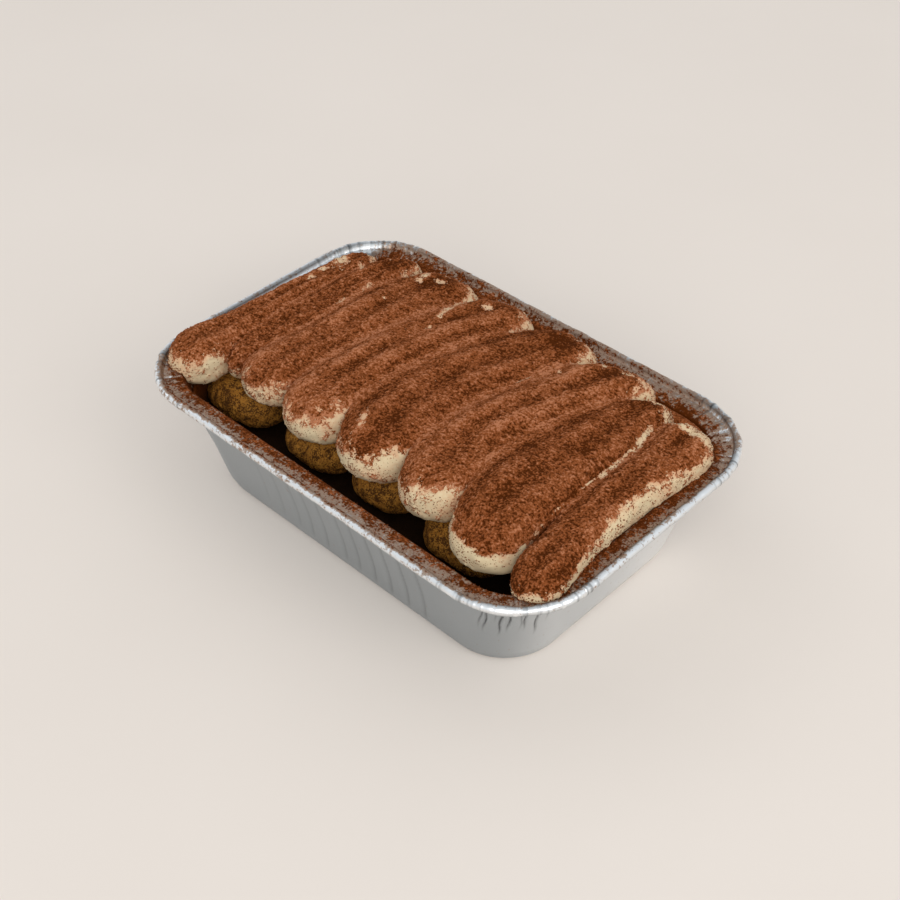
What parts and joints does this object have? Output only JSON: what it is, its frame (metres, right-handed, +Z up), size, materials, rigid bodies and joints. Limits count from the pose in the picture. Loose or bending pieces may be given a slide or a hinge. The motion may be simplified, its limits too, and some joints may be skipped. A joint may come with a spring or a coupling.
{
  "type": "tiramisu in a foil tray",
  "caption": "Tiramisu in a rolled-edge aluminium foil tray: ladyfinger ends show beside an open gap, under piped bars of mascarpone cream thickly dusted with cocoa.",
  "frame": {"origin": "middle of the tray's flat underside", "axes": "+X along the tray, +Y across it to the side where the cream meets the rim, +Z up; the ladyfinger ends show on the -Y side"},
  "size_m": [0.1498, 0.0988, 0.0449],
  "materials": {
    "foil": "thin pressed foil, softly matte with a bright rolled rim",
    "filling": "soft mascarpone cream, slightly moist",
    "biscuit": "soaked sponge biscuit, golden brown with fine dark specks",
    "cocoa_cream": "ivory cream under a thick dull coat of cocoa powder"
  },
  "bodies": {
    "root": {"foil_tray": "foil", "filling": "filling", "ladyfinger_1": "biscuit", "ladyfinger_2": "biscuit", "ladyfinger_3": "biscuit", "ladyfinger_4": "biscuit", "cream_bar_1": "cocoa_cream", "cream_bar_2": "cocoa_cream", "cream_bar_3": "cocoa_cream", "cream_bar_4": "cocoa_cream", "cream_bar_5": "cocoa_cream", "cream_bar_6": "cocoa_cream", "cream_bar_7": "cocoa_cream", "cream_bar_8": "cocoa_cream"}
  },
  "joints": []
}
